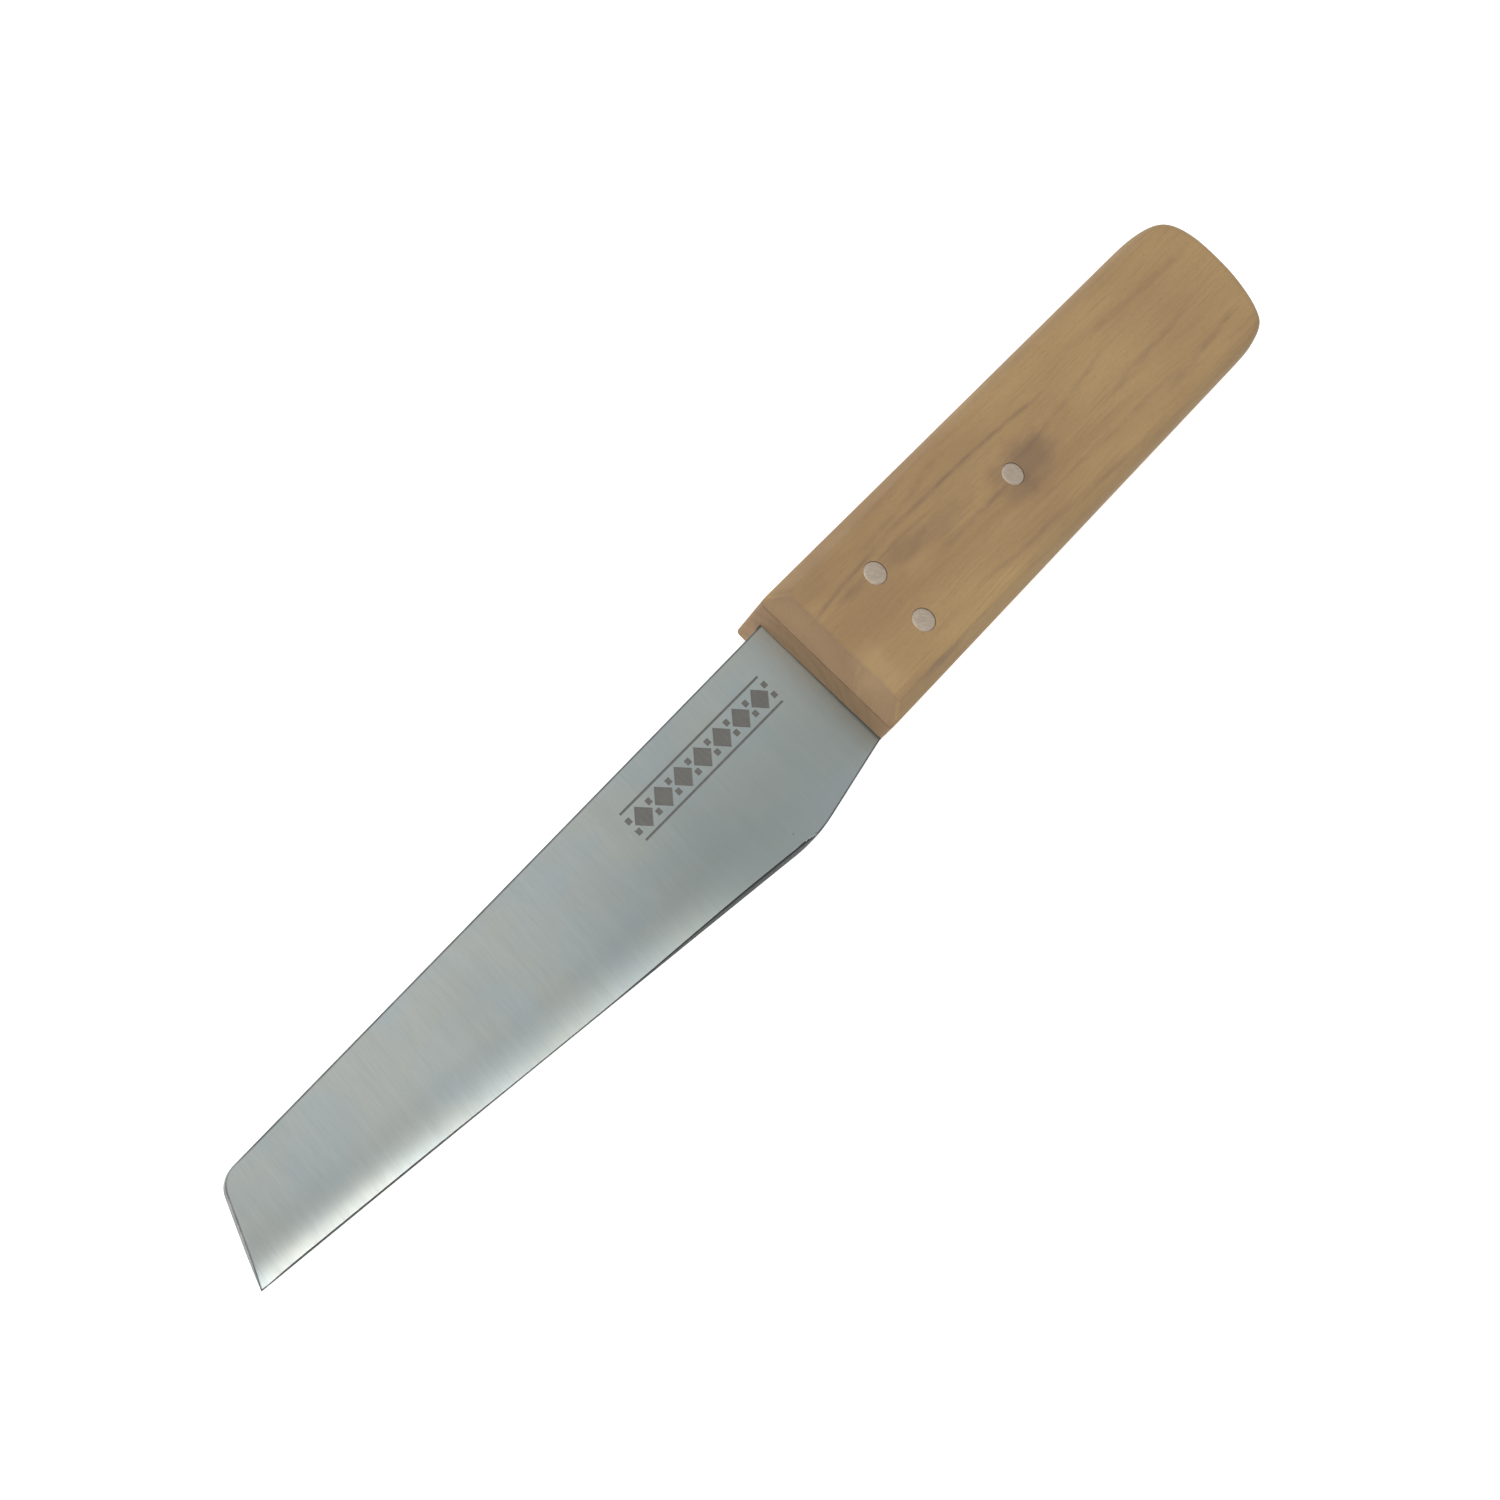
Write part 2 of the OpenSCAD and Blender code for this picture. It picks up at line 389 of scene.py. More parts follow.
    # a few places where the wood is cleaner, the largest where the thumb rests by the front edge
    for cx, cy, ax, ay, strength in ((45.6, 5.6, 3.4, 4.6, 0.32), (28.3, -0.3, 4.2, 1.6, 0.18), (35.7, -10.3, 4.0, 1.8, 0.14)):
        u, v = (x - cx) / ax, (y - cy) / ay
        clean = g.step(g.math("SQRT", u * u + v * v) + (ragged - 0.5) * 1.4, 1.25, 0.35) * upper
        col = g.mix(clean * strength, col, (0.492, 0.342, 0.176))

    # handled edges: slightly polished and darker where the attribute marks an arris
    if not sawn:
        wear = g.attribute("arris") * (0.35 + 0.9 * g.noise(g.xyz(x * 0.3, y * 0.6, z * 0.6), 3.0))
        col = g.mix(wear * 0.30, col, (0.215, 0.142, 0.084))
    else:
        # the saw's faces in the slot, its flared front mouth and the bores: near black, partly saw burn and partly
        # painted shade of the gap and the recesses
        col = g.mix(0.72, col, (0.060, 0.038, 0.024))

    height = fine * 0.55 + silk * 0.35 + g.step(fleck, 0.24, 0.06) * -0.5 + saw * g.step(nx, 0.5, 0.9) * 0.8
    rough = 0.56 + silk * 0.10 + mark * -0.06 + g.step(nx, 0.4, 0.9) * 0.12
    return g.set(
        Base_Color=col,
        Roughness=rough,
        Specular_IOR_Level=0.32,
        Normal=g.bump(height, 0.030 if not sawn else 0.12, 0.9),
    )


def steel(kind="face"):
    """Stainless sheet, ground across its length: fine lines along Y with faint cloudy tints."""
    g = Graph("blade_" + kind)
    x, y, z = g.x, g.y, g.z
    # the grinding lines lean a little more towards the tip end
    xs = x + y * g.step(x, FRONT + 10.0, FRONT + 105.0, -0.03, -0.14)
    line1 = g.noise(g.xyz(xs * 1.3, y * 0.15, 0.0), 4.0, 0.62)
    line2 = g.noise(g.xyz(xs * 5.2, y * 0.32, 4.0), 3.0, 0.6)
    wisp = g.noise(g.xyz(xs * 0.75, y * 0.085, 12.0), 2.0, 0.5)
    broad = g.noise(g.xyz(xs * 0.26, y * 0.035, 9.0), 3.0, 0.55)
    cloud = g.noise(g.xyz(x * 0.060, y * 0.085, 2.0), 3.0, 0.5, distortion=0.4)
    tint = g.noise(g.xyz(x * 0.085, y * 0.12, 7.0), 2.0, 0.5)

    cool, warm = (0.818, 0.894, 0.900), (0.874, 0.900, 0.846)
    col = g.mix(g.step(tint, 0.36, 0.64), cool, warm)
    col = g.mix(g.step(cloud, 0.35, 0.70) * 0.30, col, (0.700, 0.745, 0.735))
    col = g.mix(g.step(broad, 0.45, 0.72) * 0.28, col, (0.960, 0.990, 0.965))
    col = g.mix(g.step(wisp, 0.42, 0.74) * 0.28, col, (0.960, 0.990, 0.965))
    col = g.mix(g.step(line1, 0.42, 0.74) * 0.21, col, (0.560, 0.605, 0.590))
    col = g.mix(g.step(line2, 0.42, 0.72) * 0.15, col, (0.520, 0.560, 0.550))
    # painted shade: the steel is darker towards the handle, more on the cutting edge's side, for the dimmer light it
    # reflects there
    dull = g.step(x + y * -1.2, FRONT + 66.0, FRONT + 12.0) * (0.62 + 0.38 * g.step(y, -6.0, 7.0))
    col = g.mix(dull * 0.62, col, (0.450, 0.515, 0.510))
    # painted shade along the blade's length: none at the handle, darker out to a third of the way, a little less past
    # the middle, darkest by the tip
    col = g.mix(g.step(x, FRONT - 2.0, FRONT + 34.0, 0.0, 0.15) + g.step(x, FRONT + 60.0, FRONT + 84.0, 0.0, -0.05)
                + g.step(x, FRONT + 88.0, FRONT + 102.0, 0.0, 0.09), col, (0.100, 0.110, 0.108))
    speck = g.cells(g.xyz(x * 0.14, y * 0.14, 0.3))
    col = g.mix(g.step(speck, 0.024, 0.012) * 0.6, col, (0.150, 0.150, 0.145))
    # darker rim along the eased spine, nose and tip-cut: partly the unpolished sheared steel, partly painted shade
    # where the eased edge would catch the lights
    rim = g.attribute("rim")
    rimmed = g.noise(g.xyz(x * 0.4, y * 0.4, 5.0), 2.0) * 0.6 + 0.7
    col = g.mix(g.math("MINIMUM", rim * rimmed, 0.95), col, (0.110, 0.115, 0.117))
    rough = 0.385 + (line1 - 0.5) * 0.10 + (line2 - 0.5) * 0.06 + rim * 0.10
    height = line1 * 0.6 + line2 * 0.4
    tangent = g.t.nodes.new("ShaderNodeTangent")
    tangent.direction_type = "UV_MAP"
    tangent.uv_map = "UVMap"
    if kind == "bevel":
        # the coarse bevel that was stoned on last; its dark colour is partly that coarser finish and partly painted
        # shade for the steep facet, and the near-black band along its crease with the grind is painted shade
        l3 = g.noise(g.xyz(x * 5.5, y * 5.5 + z * 3.0, z * 3.0), 3.0, 0.6)
        col = g.mix(g.step(l3, 0.35, 0.7), (0.185, 0.190, 0.187), (0.265, 0.270, 0.262))
        col = g.mix(g.step(g.attribute("bev"), 0.40, 0.90), col, (0.060, 0.062, 0.061))
        rough = 0.42 + (l3 - 0.5) * 0.2
        height = l3
        return g.set(Base_Color=col, Metallic=1.0, Roughness=rough, Normal=g.bump(height, 0.006, 0.6))
    if kind == "etched":
        inner = g.attribute("etch")
        l3 = g.noise(g.xyz(xs * 3.2, y * 0.5, 1.0), 4.0, 0.65)
        col = g.mix(inner * (0.45 + 0.9 * (l3 - 0.35)), (0.095, 0.100, 0.098), (0.255, 0.240, 0.218))
        return g.set(Base_Color=col, Metallic=0.55, Roughness=0.55 + (l3 - 0.5) * 0.2,
                     Normal=g.bump(l3, 0.01, 0.6))
    return g.set(
        Base_Color=col, Metallic=1.0, Roughness=rough, Anisotropic=0.79,
        Tangent=V(g, tangent.outputs[0]), Normal=g.bump(height, 0.0021, 0.8),
    )


def pin_metal():
    """Soft pale rivet metal, filed flush with the wood: fine file lines, dull rim, small nicks."""
    g = Graph("pin_metal")
    x, y, z = g.x, g.y, g.z
    a = g.noise(g.xyz((x * 0.7 + y * 0.7) * 5.0, (y * 0.7 - x * 0.7) * 0.7, 0.0), 4.0, 0.65)
    b = g.noise(g.xyz(x * 1.3, y * 1.3, 2.0), 3.0, 0.5)
    nick = g.cells(g.xyz(x * 1.7, y * 1.7, 0.5))
    rim = g.attribute("rim")
    col = g.mix(g.step(a, 0.35, 0.7), (0.625, 0.510, 0.405), (0.765, 0.634, 0.516))
    col = g.mix(g.step(b, 0.4, 0.7) * 0.30, col, (0.470, 0.400, 0.330))
    col = g.mix(rim * 0.40, col, (0.26, 0.22, 0.185))
    col = g.mix(g.step(nick, 0.12, 0.04) * 0.30, col, (0.33, 0.28, 0.24))
    rough = 0.46 + (a - 0.5) * 0.2 + rim * 0.1
    return g.set(Base_Color=col, Metallic=0.85, Roughness=rough, Normal=g.bump(a + b * 0.6, 0.008, 0.7))


WOOD, SAWN_SHADED = wood(), wood(sawn=True)
FACE, BEVEL, ETCHED = steel(), steel("bevel"), steel("etched")
PIN_METAL = pin_metal()


def floats(mesh, name, values):
    a = mesh.attributes.new(name, "FLOAT", "POINT")
    a.data.foreach_set("value", values)


def clamp(v, lo=0.0, hi=1.0):
    return max(lo, min(hi, v))


def smooth(v, lo, hi):
    t = clamp((v - lo) / (hi - lo))
    return t * t * (3 - 2 * t)


# ---------------------------------------------------------------- handle
def round_inset(h, r):
    """How far a rounded edge of radius r stands back at depth h below the flat side."""
    return 0.0 if h >= r else r - math.sqrt(max(0.0, r * r - (r - h) ** 2))


def chamfer_inset(h, c=CHAMFER, arris=ARRIS):
    """The same for a 45 degree chamfer of size c, whose own two edges are softened."""
    t = arris * math.tan(math.radians(22.5))
    k = t * math.sin(math.radians(45))
    if h <= k:
        return c + t - math.sqrt(max(0.0, arris ** 2 - (arris - h) ** 2))
    if h < c - k:
        return c - h
    if h < c + t:
        return arris - math.sqrt(max(0.0, arris ** 2 - (c + t - h) ** 2))
    return 0.0


def side_inset(h, x):
    """The long edges: a soft chamfer by the front that runs out into a full round behind it."""
    f = smooth(FRONT - x, 12.0, 48.0)
    full = EDGE_R * (1 - math.tan(math.radians(22.5)))
    return chamfer_inset(h, 1.85 + (full - 1.85) * f, 0.35 + (EDGE_R - 0.35) * f)


# the butt seen from above, from the cutting edge's side round to the spine's side
BUTT_KNOTS = [
    (-36.0, HALF_W), (-38.0, HALF_W), (-41.5, 12.15), (-43.9, 11.7), (-45.4, 11.15), (-46.6, 10.3),
    (-47.75, 8.3), (-48.45, 6.4), (-48.95, 4.4), (-49.3, 2.4), (-49.45, 0.5), (BUTT, -1.6),
    (-49.4, -4.4), (-49.0, -6.5), (-48.4, -8.2), (-47.4, -9.75), (-46.0, -10.85), (-44.2, -11.55),
    (-42.0, -12.0), (-39.5, -12.2), (-36.0, -HALF_W),
]


def butt_curve():
    """Evenly sampled, smoothed points of the butt with their outward directions."""
    knots = [Vector(k) for k in BUTT_KNOTS]
    ends = [knots[0] + Vector((3.0, 0.0))] + knots + [knots[-1] + Vector((3.0, 0.0))]
    dense = []
    for i in range(len(knots) - 1):
        p0, p1, p2, p3 = ends[i:i + 4]
        for k in range(10):
            t = k / 10
            dense.append(0.5 * ((2 * p1) + (p2 - p0) * t + (2 * p0 - 5 * p1 + 4 * p2 - p3) * t * t
                                + (3 * p1 - p0 - 3 * p2 + p3) * t ** 3))
    dense.append(knots[-1])
    for _ in range(12):  # relax small wobbles left by the knots
        dense = [dense[0]] + [(a + 2 * b + c) / 4 for a, b, c in zip(dense, dense[1:], dense[2:])] + [dense[-1]]
    run = [0.0]
    for a, b in zip(dense, dense[1:]):
        run.append(run[-1] + (b - a).length)
    count, out, j = 84, [], 0
    for i in range(count + 1):
        s = run[-1] * i / count
        while j < len(run) - 2 and run[j + 1] < s:
            j += 1
        f = (s - run[j]) / max(1e-9, run[j + 1] - run[j])
        out.append(dense[j].lerp(dense[j + 1], f))
    made = []
    for i, p in enumerate(out):
        a, b = out[max(0, i - 1)], out[min(count, i + 1)]
        d = (b - a).normalized()
        made.append((p, Vector((d.y, -d.x)), i / count))
    made[0] = (out[0], Vector((0.0, 1.0)), 0.0)
    made[-1] = (out[-1], Vector((0.0, -1.0)), 1.0)
    return made


BUTT_POINTS = butt_curve()
if min(p.x for p, n, s in BUTT_POINTS) < BUTT:
    push = BUTT - min(p.x for p, n, s in BUTT_POINTS)
    BUTT_POINTS = [(Vector((max(BUTT, p.x + push * smooth(-p.x, 36.0, 44.0)), p.y)), n, s)
                   for p, n, s in BUTT_POINTS]


def handle_ring(h, extra=0.0):
    """One closed outline of the handle at depth h below a flat side, anticlockwise from above."""
    side = side_inset(h, FRONT) + extra
    far = side_inset(h, -36.0) + extra
    front = chamfer_inset(h) + extra
    end = round_inset(h, BUTT_EASE) + extra
    rc = 0.65
    xf, ys = FRONT - front, HALF_W - side
    pts = []
    for k in range(7):
        a = math.radians(-90 + 90 * k / 6)
        pts.append((xf - rc + rc * math.cos(a), -(ys - rc) + rc * math.sin(a)))
    for k in range(1, 12):
        pts.append((xf, (ys - rc) * (2 * k / 12 - 1)))
    for k in range(7):
        a = math.radians(90 * k / 6)
        pts.append((xf - rc + rc * math.cos(a), (ys - rc) + rc * math.sin(a)))

    def edge_y(x, sgn):
        # hand-finished edges: the rounding's width wanders by a few hundredths
        wide = side_inset(h, x) + extra
        return HALF_W - wide + wide * 0.035 * noise.noise(Vector((x * 0.09, 5.0 * sgn, 1.0)))

    xs, xe, n = xf - rc, -36.0, 34
    for k in range(1, n):
        x = xs + (xe - xs) * k / n
        pts.append((x, edge_y(x, 1) if k > 1 else ys))
    for p, out, s in BUTT_POINTS:
        w = smooth(min(s, 1 - s), 0.02, 0.30)
        q = p - out * (far * (1 - w) + end * w)
        pts.append((q.x, q.y))
    for k in range(1, n):
        x = xe + (xs - xe) * k / n
        pts.append((x, -edge_y(x, -1) if k < n - 1 else -ys))
    return pts


def make_handle():
    s = Shell()
    t = ARRIS * math.tan(math.radians(22.5))
    depths = [0.0, 0.006, 0.023, 0.052, 0.095, 0.15, 0.22, 0.31, 0.42, 0.55, 0.70, 0.88, 1.06, 1.25,
              1.46, 1.70, 1.95, 2.22, CHAMFER - 0.16, CHAMFER - 0.08, CHAMFER, CHAMFER + 0.08,
              CHAMFER + 0.15, CHAMFER + t]
    rings, arris = [], []

    def ring(h, z, extra=0.0):
        ids = [s.add((x, y, z)) for x, y in handle_ring(h, extra)]
        near = max(math.exp(-((h - 0.05) / 0.22) ** 2), 0.9 * math.exp(-((h - CHAMFER) / 0.30) ** 2))
        for i in ids:
            x = s.points[i][0]
            arris.append(near * (0.75 if x > FRONT - 4 else 0.30) if extra == 0 else 0.0)
        rings.append(ids)

    ring(0.0, TOP, 0.40)
    for h in depths:
        ring(h, TOP - h)
    for k in (0.3, 0.6):
        ring(CHAMFER + t, TOP - CHAMFER - t - k * (TOP - 2 * (CHAMFER + t)))
    for h in reversed(depths):
        ring(h, h)
    ring(0.0, 0.0, 0.40)
    for a, b in zip(rings, rings[1:]):
        s.strip(b, a)
    s.face(rings[0])
    s.face(tuple(reversed(rings[-1])))
    o = s.object("handle_beech", [WOOD, SAWN_SHADED], None)
    floats(o.data, "arris", arris)

    # the saw's slot, closed at the spine and open on the cutting edge's side
    half = HT + 0.035
    reach = math.acos((SLOT_Y + SAW_R - HALF_W - 1.5) / SAW_R)
    plan = [(FRONT + 1.5, SLOT_Y), (FRONT + 1.5, HALF_W + 1.5)]
    arc = [(SAW_X - SAW_R * math.sin(reach * k / 40), SLOT_Y + SAW_R - SAW_R * math.cos(reach * k / 40))
           for k in range(40, -1, -1)]
    cut(o, prism(plan + arc, MID - half, MID + half, 1).object("c", [WOOD, SAWN_SHADED], None))
    # its mouth is broken by hand: a flare at the front that widens towards the open side, and
    # a small one along that side
    e = 0.20
    for axis in ("front", "side"):
        c = Shell()
        if axis == "front":
            for xx, y0, hh, k in ((FRONT, SLOT_Y + 0.02, half - 0.03, -1), (FRONT + 1.0, SLOT_Y - 0.10, half + 0.97, 0)):
                for y, ee in ((y0, 0.08), (HALF_W + 2.0, 0.50)):
                    for z in (-1, 1):
                        c.add((xx + k * ee, y, MID + z * (hh + (k + 1) * ee)))
        else:
            ends = (SAW_X - SAW_R * math.sin(math.acos((SLOT_Y + SAW_R - HALF_W) / SAW_R)) - 0.05, FRONT + 2.0)
            for yy, hh in ((HALF_W - e, half - 0.03), (HALF_W + 1.0, half + e + 0.98)):
                for xx in ends:
                    for z in (MID - hh, MID + hh):
                        c.add((xx, yy, z))
        for f in ((0, 1, 3, 2), (4, 6, 7, 5), (0, 4, 5, 1), (2, 3, 7, 6), (0, 2, 6, 4), (1, 5, 7, 3)):
            c.face(f, 1 if axis == "front" else 0)
        co = c.object("c", [WOOD, SAWN_SHADED], None)
        fix_normals(co)
        cut(o, co)
    # bores, with the small break that a countersink leaves
    for cx, cy, r in PINS.values():
        b = r + 0.006
        prof = [(0, -1), (b + 1.014, -1), (b + 0.014, 0.0), (b, 0.03), (b, TOP - 0.03), (b + 0.014, TOP),
                (b + 1.014, TOP + 1), (0, TOP + 1)]
        co = lathe([(r_, z_) for r_, z_ in prof], (cx, cy), 72, 1).object("c", [WOOD, SAWN_SHADED], None)
        fix_normals(co)
        cut(o, co)
    for p in o.data.polygons:
        p.use_smooth = True
    o.data.set_sharp_from_angle(angle=math.radians(32))
    return o


def fix_normals(o):
    """Turns a closed mesh's faces outward."""
    bm = bmesh.new()
    bm.from_mesh(o.data)
    bmesh.ops.recalc_face_normals(bm, faces=bm.faces)
    bm.to_mesh(o.data)
    bm.free()


# ---------------------------------------------------------------- blade
EDGE_RUN = (TIP - HEEL)
EDGE_LEN = EDGE_RUN.length
EDGE_DIR = EDGE_RUN.normalized()
EDGE_IN = Vector((EDGE_DIR.y, -EDGE_DIR.x))   # from the cutting edge into the blade
if EDGE_IN.y > 0:
    EDGE_IN = -EDGE_IN


def hollow(t):
    """The cutting edge is worn slightly hollow between heel and tip."""
    return 0.08 * math.sin(math.pi * clamp(t)) ** 1.0


GRIND_W = 7.0   # width of the convex grind on each side


def bevel_w(t):
    """Width of the coarse last bevel: widest just past the heel, hair-thin at the tip."""
    a = smooth(t, -0.030, 0.030)
    b = 1.0 - smooth(t, 0.10, 0.44)
    return 0.18 + 0.08 * smooth(t, 0.55, 0.75) - 0.12 * smooth(t, 0.94, 1.0) + 0.52 * a * b


def edge_place(p):
    """(distance inside the cutting edge, how far along from heel to tip) of a plan point."""
    q = p - HEEL
    t = q.dot(EDGE_DIR) / EDGE_LEN
    return q.dot(EDGE_IN) - hollow(t), t


def arc_points(a, b, c, r, n):
    """Points of the arc of radius r that rounds corner b between a and c."""
    u, w = (a - b).normalized(), (c - b).normalized()
    half = math.acos(clamp(u.dot(w), -1, 1)) / 2
    reach = r / math.tan(half)
    centre = b + (u + w).normalized() * (r / math.sin(half))
    p0, p1 = b + u * reach, b + w * reach
    a0 = math.atan2(p0.y - centre.y, p0.x - centre.x)
    a1 = math.atan2(p1.y - centre.y, p1.x - centre.x)
    if a1 < a0 - math.pi:
        a1 += 2 * math.pi
    if a1 > a0 + math.pi:
        a1 -= 2 * math.pi
    return [centre + Vector((math.cos(a0 + (a1 - a0) * k / n), math.sin(a0 + (a1 - a0) * k / n))) * r
            for k in range(n + 1)]


def blade_outline():
    """The outline anticlockwise from above: points, easing radius at each, and which are on the edge."""
    root_s, root_e = Vector((FRONT, SPINE_Y)), Vector((FRONT, HALF_W - 0.02))
    nose = arc_points(root_s, NOSE, TIP, 3.5, 18)
    heel = arc_points(TIP, HEEL, root_e, 28.0, 14)
    pts, ease, cutting = [], [], []

    def run(a, b, step, e0, e1, edge=False, last=False):
        n = max(1, int(round((b - a).length / step)))
        for k in range(n + (1 if last else 0)):
            f = k / n
            p = a.lerp(b, f)
            pts.append(p)
            ease.append(e0 + (e1 - e0) * f)
            cutting.append(edge)

    run(Vector((SAW_X, SPINE_Y)), root_s, 4.0, 0.12, 0.12)
    run(root_s, root_s + Vector((2.0, 0.0)) * 1.0, 0.5, 0.12, 0.20)
    start = root_s + (nose[0] - root_s) * (2.0 / (nose[0] - root_s).length)
    pts[-4:] = [root_s.lerp(start, k / 4) for k in range(4)]
    run(start, nose[0], 1.6, 0.20, 0.15)
    for i, p in enumerate(nose[:-1]):
        pts.append(p); ease.append(0.15 - 0.03 * i / 18); cutting.append(False)
    run(nose[-1], TIP, 0.7, 0.12, 0.12)
    # the edge, from the tip back to the heel
    n = 84
    for k in range(n):
        f = k / n
        p = TIP.lerp(heel[0], f)
        t = (p - HEEL).dot(EDGE_DIR) / EDGE_LEN
        pts.append(p + EDGE_IN * hollow(t))
        ease.append(0.0)
        cutting.append(True)
    for i, p in enumerate(heel[:-1]):
        t = (p - HEEL).dot(EDGE_DIR) / EDGE_LEN
        pts.append(p); ease.append(0.20 * smooth(i, 4, 12)); cutting.append(i < 8)
    run(heel[-1], root_e, 0.9, 0.20, 0.20)
    run(root_e, Vector((TANG_X, HALF_W - 0.02)), 4.0, 0.12, 0.12)
    run(Vector((TANG_X, HALF_W - 0.02)), Vector((TANG_X, -5.8)), 3.0, 0.12, 0.12)
    run(Vector((TANG_X, -5.8)), Vector((SAW_X, SPINE_Y)), 3.0, 0.12, 0.12)
    return pts, ease, cutting


OUT_P, OUT_E, OUT_C = blade_outline()
OUT_N = len(OUT_P)
TIP_I = min(range(OUT_N), key=lambda i: (OUT_P[i] - TIP).length)


RIM_A = np.array([OUT_P[i] for i in range(OUT_N) if not OUT_C[i]])
RIM_B = np.array([OUT_P[(i + 1) % OUT_N] for i in range(OUT_N) if not OUT_C[i]])
RIM_EA = np.array([OUT_E[i] for i in range(OUT_N) if not OUT_C[i]])
RIM_EB = np.array([OUT_E[i] if OUT_C[(i + 1) % OUT_N] else OUT_E[(i + 1) % OUT_N]
                   for i in range(OUT_N) if not OUT_C[i]])


def rims(p):
    """(distance, easing radius) at the nearest part of the outline that isn't the cutting edge,
    for an array of plan points."""
    ab = RIM_B - RIM_A
    size = np.maximum(1e-12, (ab ** 2).sum(1))
    dist, ease = np.empty(len(p)), np.empty(len(p))
    for k in range(0, len(p), 4000):
        q = p[k:k + 4000, None, :] - RIM_A[None]
        t = np.clip((q * ab[None]).sum(2) / size[None], 0, 1)
        d = np.linalg.norm(q - ab[None] * t[..., None], axis=2)
        i = d.argmin(1)
        r = np.arange(len(i))
        dist[k:k + 4000] = d[r, i]
        ease[k:k + 4000] = RIM_EA[i] * (1 - t[r, i]) + RIM_EB[i] * t[r, i]
    return dist, ease


def smooths(v, lo, hi):
    t = np.clip((v - lo) / (hi - lo), 0, 1)
    return t * t * (3 - 2 * t)


def half_thickness(p):
    """Half the blade's thickness at an array of plan points."""
    q = p - np.array(HEEL)
    t = q @ np.array(EDGE_DIR) / EDGE_LEN
    d = np.maximum(0.0, q @ np.array(EDGE_IN) - 0.08 * np.sin(np.pi * np.clip(t, 0, 1)))
    m = 0.18 + 0.08 * smooths(t, 0.55, 0.75) - 0.12 * smooths(t, 0.94, 1.0) + 0.52 * smooths(t, -0.030, 0.030) * (1 - smooths(t, 0.10, 0.44))
    # the grind fades out towards the heel, and is flatter there than at the tip
    deep = 0.64 * smooths(t, -0.11, 0.23) * (1 - 0.09 * smooths(t, 0.40, 0.58) * (1 - smooths(t, 0.68, 0.84)))
    power = 1.25 + 0.75 * smooths(t, 0.10, 0.25) + 0.4 * smooths(t, 0.60, 0.80)
    h = HT - deep * np.clip(1 - d / GRIND_W, 0, 1) ** power
    hm = HT - deep * np.clip(1 - m / GRIND_W, 0, 1) ** power
    h = np.where(d < m, np.minimum(h, 0.02 + (hm - 0.02) * d / m), h)
    rd, e = rims(p)
    drop = e - np.sqrt(np.maximum(0.0, e * e - np.maximum(0.0, e - rd) ** 2))
    drop *= np.minimum(1.0, 0.85 * np.maximum(0.0, h - 0.02) / np.maximum(e, 0.02))
    h = np.where((rd < e) & (e > 0.02), h - drop, h)
    return np.maximum(0.02, h)


# a generic etched ornament: lozenges between pairs of small squares, framed by two rules
def ornament():
    """Closed plan outlines, anticlockwise from above."""
    x0, x1 = FRONT + 6.3, FRONT + 35.3
    yc, hh = -3.25, 2.35
    shapes = []
    n = 7
    pitch = (x1 - x0) / n
    for i in range(n):
        cx = x0 + pitch * (i + 0.5)
        shapes.append([(cx + 1.8, yc), (cx, yc + 1.8), (cx - 1.8, yc), (cx, yc - 1.8)])
    for i in range(n + 1):
        cx = x0 + pitch * i
        for cy in (yc + 0.95, yc - 0.95):
            shapes.append([(cx + 0.42, cy - 0.42), (cx + 0.42, cy + 0.42), (cx - 0.42, cy + 0.42), (cx - 0.42, cy - 0.42)])
    for sy in (1, -1):
        a, b = yc + sy * (hh - 0.16), yc + sy * (hh + 0.16)
        lo, hi = min(a, b), max(a, b)
        shapes.append([(x1 + 0.2, lo), (x1 + 0.2, hi), (x0 - 0.2, hi), (x0 - 0.2, lo)])
    return [[Vector(p) for p in s] for s in shapes]


def inset_polygon(poly, d):
    out = []
    n = len(poly)
    for i in range(n):
        a, b, c = poly[i - 1], poly[i], poly[(i + 1) % n]
        u, w = (b - a).normalized(), (c - b).normalized()
        nu, nw = Vector((-u.y, u.x)), Vector((-w.y, w.x))
        m = (nu + nw)
        m = m / max(0.2, m.length_squared / 2)
        out.append(b + m * d)
    return out


def inside(p, poly):
    hit, n = False, len(poly)
    for i in range(n):
        a, b = poly[i], poly[(i + 1) % n]
        if (a.y > p.y) != (b.y > p.y) and p.x < (b.x - a.x) * (p.y - a.y) / (b.y - a.y) + a.x:
            hit = not hit
    return hit


